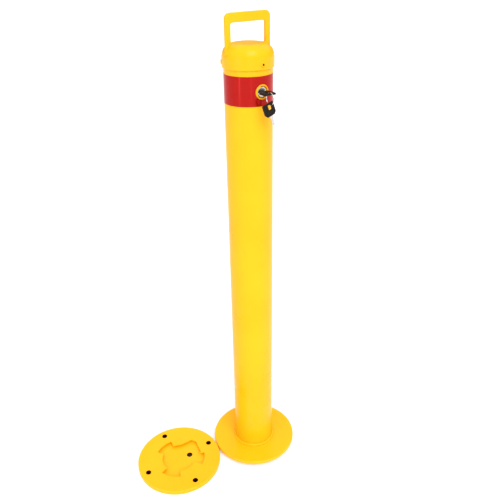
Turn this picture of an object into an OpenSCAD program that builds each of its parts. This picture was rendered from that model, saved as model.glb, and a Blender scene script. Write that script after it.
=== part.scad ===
// Removable steel bollard: a post on a flange with a bayonet hub, a key lock that
// lowers a drop pin, a spare key on a ring, and the ground plate it locks into.
// The origin is on the post's axis at the floor, +Z is up and the lock faces -Y.

/* [Post] */
// Outside diameter of the post tube
post_d = 92; // [88:0.1:104]
// Wall of the post tube
post_wall = 3.2; // [2.5:0.1:4]
// Length of the post tube
post_len = 936; // [880:1:1100]

/* [Flange] */
// Diameter of the foot flange
flange_d = 200; // [170:1:240]
// Thickness of the foot flange
flange_t = 8; // [7:0.5:12]
// Depth of the groove in the flange that takes the foot of the tube
groove_depth = 2; // [1:0.5:3]
// Leg of the weld fillet between tube and flange
weld_leg = 5; // [3:0.5:8]

/* [Locking hub] */
// Thickness of the hub's lugs
lug_t = 3.8; // [3:0.1:5]
// Height of the hub's neck between lugs and flange
neck_h = 4.4; // [3.5:0.1:6]
// Radius of the hub's neck
neck_r = 39.5; // [38:0.5:42]
// Play of the hub in the plate's pocket, on the radius
hub_play = 1.5; // [0.5:0.1:2.5]
// Turn of the lugs from their slots to the locked place, in degrees
lug_turn = -48; // [-50:1:-46]
// Distance of the drop pin from the hub's centre
pin_offset = 28; // [27:0.5:29]
// Direction of the drop pin seen from above, in degrees
pin_angle = 212.9; // [208:0.1:216]
// Diameter of the hub's screws
hub_screw_d = 8; // [6:0.5:8]

/* [Ground plate] */
// Diameter of the ground plate
plate_d = 200; // [180:1:240]
// Thickness of the plate's floor under the pocket
plate_floor = 3.5; // [3:0.1:6]
// Radius of the undercut in which the lugs turn
undercut_r = 66; // [65:0.5:70]
// Diameter of the circle through the fixing holes
anchor_pcd = 165; // [155:1:180]
// Diameter of the fixing holes
anchor_d = 12; // [8:0.5:14]
// Distance of the plate's edge from the flange's edge
plate_gap = 0.5; // [0.3:0.1:50]
// Direction in which the plate lies, seen from above, in degrees
plate_angle = 169.9; // [150:0.1:200]

/* [Cap] */
// Diameter of the cap
cap_d = 97.4; // [97.2:0.1:110]
// Wall of the cap
cap_wall = 2.5; // [2.2:0.1:2.6]
// Depth of the cap's skirt over the tube
skirt_h = 22; // [18:0.5:40]
// Height of the cap's dome above the straight side
dome_h = 25.7; // [24:0.1:30]
// Radius of the dome's shoulder
shoulder_r = 34.6; // [32:0.1:40]
// Radius of the dome's upper corner
corner_r = 22; // [14:0.5:23]
// Height of the solid crown above the tube
crown_h = 19.5; // [17:0.5:24]
// Height of the screws above the cap's lower edge
cap_screw_rise = 9.5; // [8:0.5:12]
// Diameter of the cap screws' threads
cap_screw_d = 6; // [4:0.5:6]
// Number of cap screws
cap_screw_count = 3; // [3:1:5]

/* [Handle] */
// Width of the handle
handle_w = 95.5; // [88:0.5:96]
// Thickness of the handle's plate
handle_t = 6; // [5:0.5:12]
// Width of each leg
leg_w = 11; // [8:0.5:13]
// Height of the top bar
bar_h = 16.5; // [10:0.5:20]
// Height of the handle above the cap
handle_h = 52; // [45:0.5:80]
// Radius of the outer corners
handle_r = 10.5; // [6:0.5:12]
// Radius of the inner corners
window_r = 4; // [3:0.5:8]

/* [Reflective band] */
// Height of the band
band_h = 53.5; // [40:0.5:80]
// Distance of the band's middle below the top of the tube
band_drop = 59; // [52:0.5:80]
// Thickness of the band's film
band_t = 0.4; // [0.3:0.05:0.6]

/* [Lock] */
// Distance of the lock's axis below the band's middle
lock_drop = 1.2; // [0:0.1:3]
// Diameter of the collar round the lock
collar_d = 26.4; // [25:0.1:34]
// Distance of the collar's mouth from the post's axis
collar_reach = 47.2; // [47:0.1:52]
// Length of the collar
collar_len = 9.5; // [9:0.1:14]
// Diameter of the recess in the collar's mouth
mouth_d = 22; // [21:0.1:24]
// Depth of the recess in the collar's mouth
mouth_depth = 4; // [2.5:0.1:5]
// Diameter of the lock housing's barrel
barrel_d = 16.5; // [16:0.1:17]
// Length of the lock housing behind its head
barrel_len = 20.7; // [20:0.1:30]
// Diameter of the lock housing's head
head_d = 18.5; // [18:0.1:20]
// Thickness of the lock housing's head
head_t = 2; // [1.5:0.1:2.1]
// Bore of the housing, which the plug turns in
plug_bore_d = 12; // [11:0.1:13]
// Running play of the plug and the rod's bushes, on the radius
running_play = 0.08; // [0.05:0.01:0.1]
// Width across the flats of the lock nut
nut_af = 22; // [20:0.5:24]
// Thickness of the lock nut
nut_t = 5; // [4:0.5:6]

/* [Crank and drop pin] */
// Throw of the crank on the lock's plug
crank_throw = 8; // [7.5:0.1:8.5]
// Diameter of the crank's pin
crank_pin_d = 4.8; // [4:0.1:5]
// Thickness of the crank's plate
crank_t = 2.5; // [2:0.1:3]
// Thickness of the arm on the drop pin
arm_t = 4; // [3:0.1:5]
// Play of the crank's pin in the arm's slot, up and down
slot_play = 0.35; // [0.3:0.05:0.6]
// Diameter of the drop pin
rod_d = 12; // [10:0.5:12.5]
// Height of the drop pin's foot above the floor when it is up
rod_foot = 1; // [0.6:0.1:3]
// Diameter of the arm's collar
arm_collar_d = 18; // [17:0.5:19]
// Height of the arm's collar
arm_h = 15; // [14:0.5:20]

/* [Guides and spring] */
// Thickness of the guide discs
guide_t = 6; // [4:0.5:10]
// Height of the lower guide above the floor
lower_guide_z = 120; // [60:1:300]
// Distance of the upper guide's underside below the top of the tube
upper_guide_drop = 174; // [150:1:250]
// Diameter of the bushes
bush_d = 18; // [16:0.5:19]
// Diameter of the bushes' flanges
bush_flange_d = 24; // [22:0.5:25]
// Thickness of the bushes' flanges
bush_flange_t = 2; // [1.5:0.1:3]
// Diameter of the spring's wire
wire_d = 1.6; // [1.2:0.1:2]
// Mean radius of the spring
spring_r = 9; // [8.2:0.1:9.5]
// Length of the spring when the drop pin is up
spring_len = 67.4; // [55:0.1:80]
// Turns of the spring
spring_turns = 9; // [6:1:12]
// Height of the collar under the spring
spring_collar_h = 8; // [6:0.5:12]

/* [Keys] */
// Width of a key's bow
bow_w = 23; // [20:0.5:28]
// Length of a key's bow from the middle of its bar to its shoulder
bow_len = 22; // [20:0.5:23]
// Thickness of a key's bow
bow_t = 4; // [3:0.1:5]
// Width of the slot in a key's bow
slot_w = 7.5; // [7.5:0.1:9]
// Distance of the slot's middle from the middle of the bow
slot_side = 2.2; // [1.8:0.1:2.4]
// Length of the slot in a key's bow
slot_len = 10; // [10:0.1:12]
// Width of a key's blade
blade_w = 6; // [5:0.1:7]
// Thickness of a key's blade
blade_t = 2; // [1.5:0.1:2.5]
// Length of a key's blade outside its bow
blade_len = 19; // [17:0.5:19]
// Distance of the fitted key's bar from the post's axis
key_reach = 70; // [70:0.5:84]
// Mean radius of the key ring
ring_r = 11; // [10.5:0.1:11]
// Diameter of the ring's wire
ring_wire = 1.8; // [1.2:0.1:2.2]
// Place of the ring along the spare key's bar, from its middle
ring_side = 4.5; // [4:0.1:4.6]
// Tilt of the spare key as it hangs, in degrees
spare_tilt = 20; // [0:0.1:24]

/* [Hidden] */
$fn = 96;
eps = 0.01;
seat = 0.3;
// Side clearance of a screw or pin in its hole, and of a close fit
screw_play = 0.1;
close_play = 0.05;

hub_h = lug_t + neck_h;
flange_top = hub_h + flange_t;
post_r = post_d / 2;
tube_inner_r = post_r - post_wall;
tube_foot = flange_top - groove_depth;
post_top = tube_foot + post_len;
pin_x = pin_offset * cos(pin_angle);
pin_y = pin_offset * sin(pin_angle);
rod_hole_r = rod_d / 2 + 0.5;

slot_angles = [-35.75, -138.5, 107.25];
slot_spans = [34.5, 48, 45.5];
slot_reach = [for (extra = [22.5, 18.5, 18.5]) neck_r + extra];
lug_side_play = 2;
lug_play_h = 0.7;
lip_play_h = 0.4;
pocket_r = neck_r + hub_play;
pocket_h = lug_t + lug_play_h;
lip_h = neck_h - lip_play_h;
plate_t = plate_floor + pocket_h + lip_h;
plate_reach = (flange_d + plate_d) / 2 + plate_gap;
lobe = [[0, -15.4], [52, -15.4], [60.8, 34.5], [0, 34.5]];

cap_r = cap_d / 2;
cap_foot = post_top - skirt_h;
cap_top = post_top + crown_h;
cap_side_top = cap_top - dome_h;
cap_inner_r = cap_r - cap_wall;
cap_seat = 0.2;
crown_hollow_r = tube_inner_r - 0.5;
crown_wall = 5;
dome_turn = asin((dome_h - corner_r) / (shoulder_r - corner_r));
cap_screw_z = cap_foot + cap_screw_rise;
spot_depth = 0.6;
screw_head_r = cap_screw_d * 0.79;
screw_head_h = cap_screw_d * 0.38;
screw_inner_y = tube_inner_r - 1.2;

handle_top = cap_top + handle_h;
handle_foot = post_top + 2.3;
handle_play = 0.2;

band_z = post_top - band_drop;
band_in_r = post_r + close_play;
band_out_r = band_in_r + band_t;

lock_z = band_z - lock_drop;
barrel_r = barrel_d / 2;
head_y = -(collar_reach - mouth_depth);
barrel_end_y = head_y + barrel_len;
collar_end_y = -(collar_reach - collar_len);
washer_t = 1.5;
washer_r = collar_d / 2 - 0.5;
nut_y = collar_end_y + washer_t;
plug_r = plug_bore_d / 2 - running_play;
plug_y = head_y - head_t + 0.2;
crank_y = barrel_end_y + seat;
crank_end_y = crank_y + crank_t;
arm_y = crank_end_y + 3.5;
crank_pin_r = crank_pin_d / 2;
pin_drop_x = -crank_throw * cos(45);
pin_rise = crank_throw * sin(45);
arm_z = lock_z + pin_rise;
slot_half = crank_pin_r + slot_play;
cam_screw_d = 4;
cam_screw_len = 4.2;
tap_spare = 0.8;
rod_top = arm_z + arm_h / 2 + 0.8;

upper_guide_z = post_top - upper_guide_drop;
guide_r = tube_inner_r - 0.2;
bush_bore_r = rod_d / 2 + running_play;
bush_top = bush_flange_t + guide_t;
spring_top = upper_guide_z - seat;
spring_foot = spring_top - spring_len;
spring_collar_r = spring_r + wire_d / 2 + 1.2;
cross_pin_r = 1.5;
spring_collar_z = spring_foot - seat - spring_collar_h;

bar_r = bow_t / 2;
tang_len = 6;
keyway_depth = blade_len - (key_reach - bow_len + head_y - head_t) + 1;
ring_hang = bar_r + seat + ring_wire / 2;
ring_z = lock_z + ring_hang - ring_r;

// Places its children on the lock's axis, turned so that their +Z points along +Y
module on_lock(y) {
    translate([0, y, lock_z]) rotate([-90, 0, 0]) children();
}

// Cylinder along +Y on the lock's axis, from one place to another
module lock_cylinder(r, from_y, to_y) {
    on_lock(from_y) cylinder(r = r, h = to_y - from_y);
}

// Flat sector with its middle at an angle
module sector(r, angle, span) {
    rotate(angle) intersection() {
        circle(r = r);
        polygon([[0, 0], 2 * r * [cos(span / 2), -sin(span / 2)],
            2 * r * [cos(span / 2), sin(span / 2)]]);
    }
}

// Turns its children to each hub screw, a quarter turn apart from the drop pin
module at_hub_screws() {
    for (step = [1 : 3]) {
        rotate(pin_angle + 90 * step) translate([pin_offset, 0, 0]) children();
    }
}

// Hub under the flange: a neck with three lugs that turn under the plate's lip
module lug_hub() {
    color("goldenrod")
    difference() {
        union() {
            cylinder(r = neck_r, h = hub_h);
            for (i = [0 : 2]) {
                linear_extrude(lug_t) sector(slot_reach[i] - hub_play,
                    pin_angle + slot_angles[i] + lug_turn, slot_spans[i] - 2 * lug_side_play);
            }
        }
        translate([pin_x, pin_y, -1]) cylinder(r = rod_hole_r, h = hub_h + 2);
        at_hub_screws() hub_screw_form(screw_play, 1);
    }
}

// Countersunk screw from below, grown by the play and lengthened below its head
module hub_screw_form(play, below) {
    shank_r = hub_screw_d / 2 + play;
    head_r = hub_screw_d * 0.94 + play;
    head_h = head_r - shank_r;
    translate([0, 0, 0.4]) {
        translate([0, 0, -below]) cylinder(r = head_r, h = below + eps);
        cylinder(r1 = head_r, r2 = shank_r, h = head_h);
        cylinder(r = shank_r, h = hub_h + flange_t - 1.4 + play);
    }
}

module hub_screws() {
    color("silver")
    at_hub_screws() difference() {
        hub_screw_form(0, 0);
        cylinder(r = hub_screw_d * 0.36, h = hub_screw_d * 0.35 + 0.4, $fn = 6);
    }
}

// Foot flange with a groove for the tube and a hollow weld fillet round it
module base_flange() {
    tube_play = 0.1;
    color("gold")
    difference() {
        union() {
            translate([0, 0, hub_h]) rotate_extrude() {
                edge = 1;
                polygon([[0, 0], [flange_d / 2 - edge, 0], [flange_d / 2, edge],
                    [flange_d / 2, flange_t - edge], [flange_d / 2 - edge, flange_t],
                    [0, flange_t]]);
            }
            translate([0, 0, flange_top]) rotate_extrude() difference() {
                translate([post_r + tube_play, -eps]) square([weld_leg, weld_leg]);
                translate([post_r + tube_play + weld_leg, weld_leg]) circle(r = weld_leg * 0.94);
            }
        }
        translate([0, 0, tube_foot]) difference() {
            cylinder(r = post_r + tube_play, h = flange_t);
            translate([0, 0, -1]) cylinder(r = tube_inner_r - tube_play, h = flange_t + 2);
        }
        translate([pin_x, pin_y, 0]) cylinder(r = rod_hole_r, h = flange_top + 1);
        at_hub_screws() cylinder(r = hub_screw_d / 2 + screw_play, h = flange_top - 0.8);
    }
}

// Places its children at each cap screw, with +Z pointing out of the post
module at_cap_screws() {
    for (i = [0 : cap_screw_count - 1]) {
        rotate([0, 0, -90 + 360 / cap_screw_count * i])
            translate([0, 0, cap_screw_z]) rotate([0, 90, 0]) children();
    }
}

module post_tube() {
    color("gold")
    difference() {
        translate([0, 0, tube_foot]) cylinder(r = post_r, h = post_len);
        translate([0, 0, tube_foot - 1]) cylinder(r = tube_inner_r, h = post_len + 2);
        lock_cylinder(collar_d / 2 + screw_play, -post_r - 5, -tube_inner_r / 2);
        at_cap_screws() cylinder(r = cap_screw_d / 2 + screw_play, h = cap_r);
    }
}

// Red film round the lock, with a hole for the lock's collar
module reflective_band() {
    color("firebrick")
    difference() {
        translate([0, 0, band_z - band_h / 2]) cylinder(r = band_out_r, h = band_h);
        translate([0, 0, band_z - band_h]) cylinder(r = band_in_r, h = 2 * band_h);
        lock_cylinder(collar_d / 2 + 0.6, -post_r - 5, -tube_inner_r / 2);
    }
}

// Points of the cap's rounded side, from the straight skirt up to the flat top
function dome_points() = concat(
    [for (i = [0 : 6]) let (a = dome_turn * i / 6)
        [cap_r - shoulder_r * (1 - cos(a)), cap_side_top + shoulder_r * sin(a)]],
    [for (i = [1 : 6]) let (a = dome_turn + (90 - dome_turn) * i / 6)
        [cap_r - shoulder_r + (shoulder_r - corner_r) * cos(dome_turn) + corner_r * cos(a),
         cap_top - corner_r * (1 - sin(a))]]);

module top_cap() {
    foot_edge = 0.8;
    ceiling = cap_top - crown_wall;
    color("gold")
    difference() {
        rotate_extrude() polygon(concat(
            [[0, cap_foot], [cap_r - foot_edge, cap_foot], [cap_r, cap_foot + foot_edge]],
            dome_points(), [[0, cap_top]]));
        translate([0, 0, cap_foot - 1]) cylinder(r = cap_inner_r, h = skirt_h + cap_seat + 1);
        rotate_extrude() polygon([[0, post_top - 1], [crown_hollow_r, post_top - 1],
            [crown_hollow_r, post_top + 3], [crown_hollow_r - 7, ceiling], [0, ceiling]]);
        for (side = [-1, 1]) {
            translate([side * (handle_w - leg_w) / 2, 0, handle_foot - handle_play + dome_h / 2])
                cube([leg_w + 2 * handle_play, handle_t + 2 * handle_play, dome_h], center = true);
        }
        at_cap_screws() {
            cylinder(r = cap_screw_d / 2 + screw_play, h = cap_r + 1);
            translate([0, 0, cap_r - spot_depth]) cylinder(r = screw_head_r + 0.4, h = 2);
        }
    }
}

// Outline of the handle: a flat hoop with round outer corners
module handle_outline() {
    inner_w = handle_w - 2 * leg_w;
    height = handle_top - handle_foot;
    difference() {
        union() {
            translate([-handle_w / 2, 0]) square([handle_w, height - handle_r]);
            translate([-handle_w / 2 + handle_r, 0]) square([handle_w - 2 * handle_r, height]);
            for (side = [-1, 1]) {
                translate([side * (handle_w / 2 - handle_r), height - handle_r]) circle(r = handle_r);
            }
        }
        translate([-inner_w / 2, -1]) square([inner_w, height - bar_h - window_r + 1]);
        translate([-inner_w / 2 + window_r, -1]) square([inner_w - 2 * window_r, height - bar_h + 1]);
        for (side = [-1, 1]) {
            translate([side * (inner_w / 2 - window_r), height - bar_h - window_r])
                circle(r = window_r);
        }
    }
}

// Grab handle, cut from plate and let into the cap
module carry_handle() {
    color("gold")
    translate([0, handle_t / 2, handle_foot]) rotate([90, 0, 0])
        linear_extrude(handle_t) handle_outline();
}

// Three button head screws through the cap's skirt
module cap_screws() {
    head_base = cap_r - spot_depth + close_play;
    color("silver")
    at_cap_screws() difference() {
        union() {
            translate([0, 0, screw_inner_y])
                cylinder(r = cap_screw_d / 2, h = head_base - screw_inner_y + eps);
            translate([0, 0, head_base]) rotate_extrude() polygon([[0, 0], [screw_head_r, 0],
                [screw_head_r, screw_head_h * 0.3], [screw_head_r * 0.9, screw_head_h * 0.7],
                [screw_head_r * 0.65, screw_head_h], [0, screw_head_h]]);
        }
        translate([0, 0, head_base + screw_head_h * 0.35])
            cylinder(r = cap_screw_d * 0.38, h = screw_head_h, $fn = 6);
    }
}

// Ring welded into the tube round the lock, with a recessed mouth
module lock_collar() {
    edge = 1;
    color("gold")
    difference() {
        on_lock(-collar_reach) rotate_extrude() polygon([[0, 0], [collar_d / 2 - edge, 0],
            [collar_d / 2, edge], [collar_d / 2, collar_len], [0, collar_len]]);
        lock_cylinder(barrel_r + 0.15, -collar_reach - 1, collar_end_y + 1);
        lock_cylinder(mouth_d / 2, -collar_reach - 1, head_y);
    }
}

// Lock body: a head that seats in the collar, and a barrel with the plug's bore
module lock_housing() {
    edge = 0.5;
    color("silver")
    difference() {
        union() {
            on_lock(head_y - head_t) rotate_extrude() polygon([[0, 0], [head_d / 2 - edge, 0],
                [head_d / 2, edge], [head_d / 2, head_t], [0, head_t]]);
            lock_cylinder(barrel_r, head_y - eps, barrel_end_y);
        }
        lock_cylinder(plug_bore_d / 2, head_y - head_t - 1, barrel_end_y + 1);
    }
}

module lock_washer() {
    color("silver")
    difference() {
        lock_cylinder(washer_r, collar_end_y, nut_y);
        lock_cylinder(barrel_r + 0.15, collar_end_y - 1, nut_y + 1);
    }
}

module lock_nut() {
    color("silver")
    difference() {
        on_lock(nut_y) cylinder(r = nut_af / 2 / cos(30), h = nut_t, $fn = 6);
        lock_cylinder(barrel_r + close_play, nut_y - 1, nut_y + nut_t + 1);
    }
}

// Outline of the keyed hole in the plate's lip
module pocket_outline() {
    circle(r = pocket_r);
    for (i = [0 : 2]) sector(slot_reach[i], slot_angles[i], slot_spans[i]);
    intersection() {
        circle(r = slot_reach[0]);
        polygon(lobe);
    }
}

// Ground plate: a floor, an undercut for the lugs and a keyed lip over it
module ground_plate() {
    edge = 1;
    color("gold")
    translate(plate_reach * [cos(plate_angle), sin(plate_angle), 0])
    difference() {
        rotate_extrude() polygon([[0, 0], [plate_d / 2 - edge, 0], [plate_d / 2, edge],
            [plate_d / 2, plate_t - edge], [plate_d / 2 - edge, plate_t], [0, plate_t]]);
        translate([0, 0, plate_floor]) cylinder(r = undercut_r, h = pocket_h);
        translate([0, 0, plate_floor + pocket_h - eps]) linear_extrude(lip_h + 1) pocket_outline();
        translate([pin_offset, 0, -1]) cylinder(r = rod_hole_r, h = plate_t);
        for (step = [0 : 3]) {
            rotate(90 * step) translate([anchor_pcd / 2, 0, -1])
                cylinder(r = anchor_d / 2, h = plate_t + 2);
        }
    }
}

// Guide disc across the inside of the tube, with a hole for its bush
module guide_disc(z) {
    relief_r = tube_inner_r * 0.3;
    color("darkgray")
    difference() {
        translate([0, 0, z]) cylinder(r = guide_r, h = guide_t);
        translate([pin_x, pin_y, z - 1]) cylinder(r = bush_d / 2 + close_play, h = guide_t + 2);
        translate([-pin_x / 2, -pin_y / 2, z - 1]) cylinder(r = relief_r, h = guide_t + 2);
    }
}

// Flanged bush in a guide disc, which the drop pin slides in
module guide_bush(z) {
    color("peru")
    translate([pin_x, pin_y, z]) difference() {
        union() {
            cylinder(r = bush_d / 2, h = bush_top);
            translate([0, 0, guide_t]) cylinder(r = bush_flange_d / 2, h = bush_flange_t);
        }
        translate([0, 0, -1]) cylinder(r = bush_bore_r, h = bush_top + 2);
    }
}

module lower_guide() {
    guide_disc(lower_guide_z);
}

module lower_bush() {
    guide_bush(lower_guide_z);
}

module upper_guide() {
    guide_disc(upper_guide_z);
}

module upper_bush() {
    guide_bush(upper_guide_z);
}

// Point on a coil whose axis is +Z
function coil_point(r, turn, z) = [r * cos(turn), r * sin(turn), z];

// Wire swept along a coil, as rings of points joined by quads
module coil(r, wire_r, length, turns, sides, steps) {
    rings = turns * steps;
    points = [for (i = [0 : rings]) for (s = [0 : sides - 1])
        let (turn = 360 * i / steps, a = 360 * s / sides)
        coil_point(r + wire_r * cos(a), turn,
            wire_r + (length - 2 * wire_r) * i / rings + wire_r * sin(a))];
    walls = [for (i = [0 : rings - 1]) for (s = [0 : sides - 1])
        [i * sides + s, (i + 1) * sides + s, (i + 1) * sides + (s + 1) % sides,
         i * sides + (s + 1) % sides]];
    foot = [for (s = [0 : sides - 1]) s];
    head = [for (s = [sides - 1 : -1 : 0]) rings * sides + s];
    polyhedron(points, concat(walls, [foot], [head]));
}

// Spring that pushes the drop pin down
module lock_spring() {
    color("dimgray")
    translate([pin_x, pin_y, spring_foot])
        coil(spring_r, wire_d / 2, spring_len, spring_turns, 6, 20);
}

// Drop pin with a chamfered foot and two cross holes
module lock_rod() {
    point = 1.5;
    color("silver")
    translate([pin_x, pin_y, 0]) difference() {
        rotate_extrude() polygon([[0, rod_foot], [rod_d / 2 - point, rod_foot],
            [rod_d / 2, rod_foot + point], [rod_d / 2, rod_top - 1], [rod_d / 2 - 1, rod_top],
            [0, rod_top]]);
        for (z = [arm_z, spring_collar_z + spring_collar_h / 2]) {
            translate([0, 0, z]) rotate([90, 0, 0])
                cylinder(r = cross_pin_r + close_play, h = rod_d * 2, center = true);
        }
    }
}

// Arm on the drop pin's head, with the slot that the crank's pin moves in
module rod_arm() {
    slot_in_x = pin_drop_x + 0.4;
    slot_out_x = -crank_throw - 0.4;
    arm_half_h = slot_half + 3.6;
    color("darkgray")
    difference() {
        union() {
            translate([pin_x, pin_y, arm_z - arm_h / 2]) cylinder(r = arm_collar_d / 2, h = arm_h);
            translate([pin_x, arm_y, arm_z - arm_half_h])
                cube([slot_in_x - pin_x, arm_t, 2 * arm_half_h]);
            translate([slot_in_x, arm_y, arm_z]) rotate([-90, 0, 0])
                cylinder(r = arm_half_h, h = arm_t);
        }
        translate([pin_x, pin_y, arm_z - arm_h]) cylinder(r = rod_d / 2 + close_play, h = 2 * arm_h);
        translate([slot_out_x, arm_y - 1, arm_z - slot_half])
            cube([slot_in_x - slot_out_x, arm_t + 2, 2 * slot_half]);
        for (x = [slot_in_x, slot_out_x]) {
            translate([x, arm_y - 1, arm_z]) rotate([-90, 0, 0]) cylinder(r = slot_half, h = arm_t + 2);
        }
        translate([pin_x, pin_y, arm_z]) rotate([90, 0, 0])
            cylinder(r = cross_pin_r + close_play, h = 2 * arm_collar_d, center = true);
    }
}

module arm_pin() {
    color("silver")
    translate([pin_x, pin_y, arm_z]) rotate([90, 0, 0])
        cylinder(r = cross_pin_r, h = arm_collar_d - 0.6, center = true);
}

module spring_collar() {
    color("darkgray")
    translate([pin_x, pin_y, spring_collar_z]) difference() {
        cylinder(r = spring_collar_r, h = spring_collar_h);
        translate([0, 0, -1]) cylinder(r = rod_d / 2 + close_play, h = spring_collar_h + 2);
        translate([0, 0, spring_collar_h / 2]) rotate([90, 0, 0])
            cylinder(r = cross_pin_r + close_play, h = 3 * spring_collar_r, center = true);
    }
}

module collar_pin() {
    color("silver")
    translate([pin_x, pin_y, spring_collar_z + spring_collar_h / 2]) rotate([90, 0, 0])
        cylinder(r = cross_pin_r, h = 2 * spring_collar_r - 0.6, center = true);
}

// Lock plug with its keyway and the tapped hole for the crank's screw
module lock_plug() {
    keyway_play = 0.2;
    color("silver")
    difference() {
        lock_cylinder(plug_r, plug_y, crank_y);
        translate([0, plug_y - 1 + (keyway_depth + 1) / 2, lock_z])
            cube([blade_w + 2 * keyway_play, keyway_depth + 1, blade_t + 2 * keyway_play], center = true);
        lock_cylinder(cam_screw_d / 2 + close_play, crank_y - cam_screw_len - tap_spare, crank_y + 1);
    }
}

// Crank plate on the plug, with the pin that moves the drop pin
module lock_cam() {
    hub_r = plug_r;
    tip_r = crank_pin_r + 2.4;
    web_half = tip_r - 1;
    angle = atan2(pin_rise, pin_drop_x);
    color("darkgray")
    union() {
        difference() {
            union() {
                lock_cylinder(hub_r, crank_y, crank_end_y);
                translate([pin_drop_x, 0, pin_rise]) lock_cylinder(tip_r, crank_y, crank_end_y);
                translate([0, crank_y, lock_z]) rotate([0, -angle, 0])
                    translate([0, 0, -web_half]) cube([crank_throw, crank_t, 2 * web_half]);
            }
            lock_cylinder(cam_screw_d / 2 + close_play, crank_y - 1, crank_end_y + 1);
        }
        translate([pin_drop_x, 0, pin_rise])
            lock_cylinder(crank_pin_r, crank_end_y - eps, arm_y + arm_t + 0.5);
    }
}

module cam_screw() {
    head_r = cam_screw_d * 0.875;
    color("silver")
    difference() {
        union() {
            lock_cylinder(cam_screw_d / 2, crank_y - cam_screw_len, crank_end_y + eps);
            lock_cylinder(head_r, crank_end_y, crank_end_y + 2);
        }
        on_lock(crank_end_y + 0.9) cylinder(r = cam_screw_d * 0.4, h = 2, $fn = 6);
    }
}

// Key blade hanging from its bow along -Z, with cuts on one edge
module blade_form() {
    root = bow_len - tang_len;
    tip = bow_len + blade_len;
    cut_depths = [1.2, 0.7, 1.6, 1.0];
    cut_pitch = 3.6;
    color("silver")
    difference() {
        translate([0, blade_t / 2, 0]) rotate([90, 0, 0]) linear_extrude(blade_t)
            polygon([[-blade_w / 2, -root], [-blade_w / 2, -tip + 2], [-blade_w / 2 + 2, -tip],
                [blade_w / 2 - 2, -tip], [blade_w / 2, -tip + 2], [blade_w / 2, -root]]);
        for (i = [0 : 3]) {
            depth = cut_depths[i];
            translate([blade_w / 2, 0, -tip + 4 + cut_pitch * i]) rotate([0, 45, 0])
                cube([depth * sqrt(2), 2 * blade_t, depth * sqrt(2)], center = true);
        }
    }
}

// Key bow along -Z: a flat grip with a slot, and a round bar across its end
module bow_form() {
    shoulder = 3.5;
    side = bow_w / 2;
    color([0.12, 0.1, 0.08])
    difference() {
        union() {
            translate([0, bow_t / 2, 0]) rotate([90, 0, 0]) linear_extrude(bow_t) difference() {
                polygon([[-side, 0], [-side, -bow_len + shoulder + 1], [-side + shoulder, -bow_len],
                    [side - shoulder, -bow_len], [side, -bow_len + shoulder + 1], [side, 0]]);
                translate([slot_side - slot_w / 2, -slot_len - bar_r]) square([slot_w, slot_len + bar_r + 1]);
            }
            translate([-side, 0, 0]) rotate([0, 90, 0]) cylinder(r = bar_r, h = bow_w);
        }
        translate([0, 0, -bow_len + (tang_len - 1) / 2])
            cube([blade_w, blade_t, tang_len + 1] + 2 * close_play * [1, 1, 1], center = true);
    }
}

// Places its children as the fitted key, which points into the lock
module fitted() {
    translate([0, -key_reach, lock_z]) rotate([90, 0, 0]) children();
}

// Places its children as the spare key, which hangs on the ring
module hung() {
    translate([0, -key_reach, ring_z - ring_r]) rotate([0, -spare_tilt, 0])
        translate([-ring_side, 0, ring_hang]) children();
}

module key_blade() {
    fitted() blade_form();
}

module key_bow() {
    fitted() bow_form();
}

// Split ring through both bows, drawn as one closed turn
module key_ring() {
    color("silver")
    translate([0, -key_reach, ring_z]) rotate([0, 90, 0])
        rotate_extrude() translate([ring_r, 0]) circle(r = ring_wire / 2, $fn = 24);
}

module spare_key_blade() {
    hung() blade_form();
}

module spare_key_bow() {
    hung() bow_form();
}

lug_hub();
hub_screws();
base_flange();
post_tube();
reflective_band();
top_cap();
carry_handle();
cap_screws();
lock_collar();
lock_housing();
lock_washer();
lock_nut();
ground_plate();
lower_guide();
lower_bush();
upper_guide();
upper_bush();
lock_spring();
lock_rod();
rod_arm();
arm_pin();
spring_collar();
collar_pin();
lock_plug();
lock_cam();
cam_screw();
key_blade();
key_bow();
key_ring();
spare_key_blade();
spare_key_bow();
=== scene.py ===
"""Dresses a removable steel bollard, its key lock and its ground plate for a studio picture.

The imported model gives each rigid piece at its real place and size. This script rounds the
edges that show, models the cap, welds, keys and split ring more finely, gives every piece
its finish, and sets the light and the camera.
"""

import logging
import math
from dataclasses import dataclass
from enum import Enum

import bmesh
import bpy
from mathutils import Matrix, Vector


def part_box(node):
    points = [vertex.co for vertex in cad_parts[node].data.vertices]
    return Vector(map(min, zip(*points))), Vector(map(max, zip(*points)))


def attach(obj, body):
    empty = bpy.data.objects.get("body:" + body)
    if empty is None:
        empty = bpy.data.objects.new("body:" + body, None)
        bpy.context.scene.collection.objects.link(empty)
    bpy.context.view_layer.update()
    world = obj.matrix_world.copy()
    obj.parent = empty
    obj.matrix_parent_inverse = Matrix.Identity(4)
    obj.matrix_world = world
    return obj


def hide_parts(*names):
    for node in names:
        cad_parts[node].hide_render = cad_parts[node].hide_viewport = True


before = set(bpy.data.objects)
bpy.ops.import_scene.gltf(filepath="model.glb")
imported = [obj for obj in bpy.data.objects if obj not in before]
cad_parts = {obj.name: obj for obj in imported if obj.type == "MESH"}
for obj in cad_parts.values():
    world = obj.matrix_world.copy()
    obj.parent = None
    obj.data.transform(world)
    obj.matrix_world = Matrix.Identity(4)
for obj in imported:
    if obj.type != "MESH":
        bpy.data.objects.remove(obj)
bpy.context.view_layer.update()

MM = 0.001
MERGE_DISTANCE = 0.01 * MM
BEAD_SIDES = 10
MIX_COLOUR_INPUTS = (6, 7)
MIX_COLOUR_OUTPUT = 2
SPECK_SHARE_HIGH_UP = 0.35
SPECK_PATCH_LEVEL = 0.56
WHITE = (1.0, 1.0, 1.0, 1.0)
UP = Vector((0, 0, 1))
Socket = bpy.types.NodeSocket
Colour = tuple[float, ...]
log = logging.getLogger("bollard")


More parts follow.
